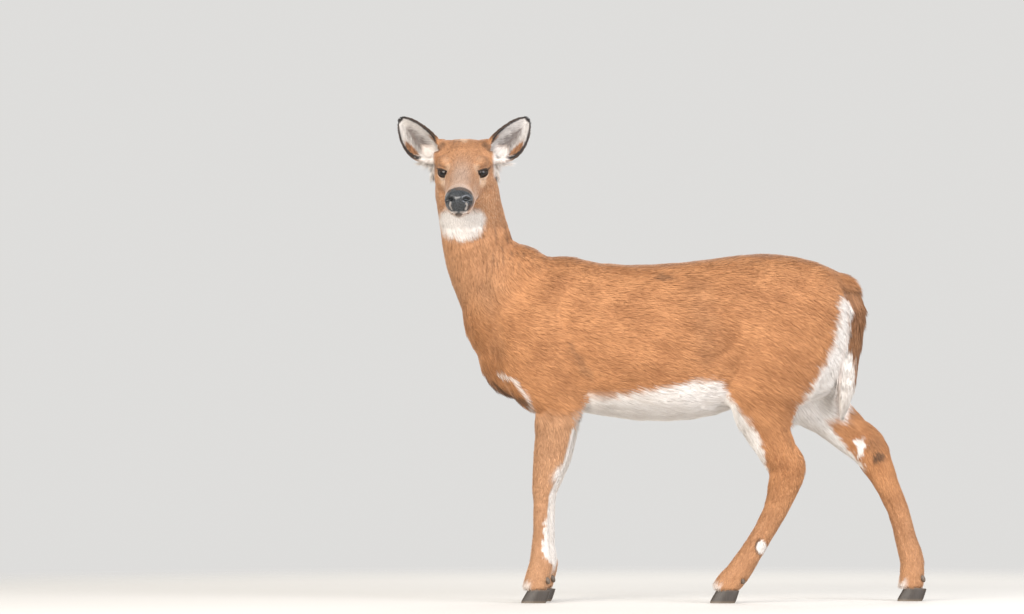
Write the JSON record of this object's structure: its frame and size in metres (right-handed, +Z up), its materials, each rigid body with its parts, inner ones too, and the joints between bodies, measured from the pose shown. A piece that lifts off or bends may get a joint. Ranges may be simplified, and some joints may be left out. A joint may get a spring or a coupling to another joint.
{
  "type": "white-tailed deer",
  "caption": "Life-size still model of a young white-tailed doe, standing in a walking stance with her head turned to her left and her ears spread",
  "frame": {"origin": "middle of the bounding box, at the level of the hoof soles", "axes": "-X is the way the body faces, -Y is her left side and the way her face looks, +Z is up"},
  "size_m": [1.1658, 0.3836, 1.0661],
  "materials": {
    "coat": "short reddish-brown hair lying flat",
    "white_coat": "longer soft white hair",
    "nose": "bare moist pebbled skin",
    "eye": "wet clear cornea over dark brown",
    "hoof": "dark horn, worn satin"
  },
  "bodies": {
    "root": {"trunk": "coat", "neck": "coat", "head": "coat", "jaw": "coat", "ear_left": "coat", "ear_right": "coat", "fore_left_forearm": "coat", "fore_left_cannon": "coat", "fore_left_pastern": "coat", "fore_right_forearm": "coat", "fore_right_cannon": "coat", "fore_right_pastern": "coat", "hind_left_thigh": "coat", "hind_left_cannon": "coat", "hind_left_pastern": "coat", "hind_right_thigh": "coat", "hind_right_cannon": "coat", "hind_right_pastern": "coat", "tail": "white_coat", "nose": "nose", "eye_left": "eye", "eye_right": "eye", "fore_left_claw_outer": "hoof", "fore_left_claw_inner": "hoof", "fore_left_dewclaw_outer": "hoof", "fore_left_dewclaw_inner": "hoof", "fore_right_claw_outer": "hoof", "fore_right_claw_inner": "hoof", "fore_right_dewclaw_outer": "hoof", "fore_right_dewclaw_inner": "hoof", "hind_left_claw_outer": "hoof", "hind_left_claw_inner": "hoof", "hind_left_dewclaw_outer": "hoof", "hind_left_dewclaw_inner": "hoof", "hind_right_claw_outer": "hoof", "hind_right_claw_inner": "hoof", "hind_right_dewclaw_outer": "hoof", "hind_right_dewclaw_inner": "hoof"}
  },
  "joints": []
}
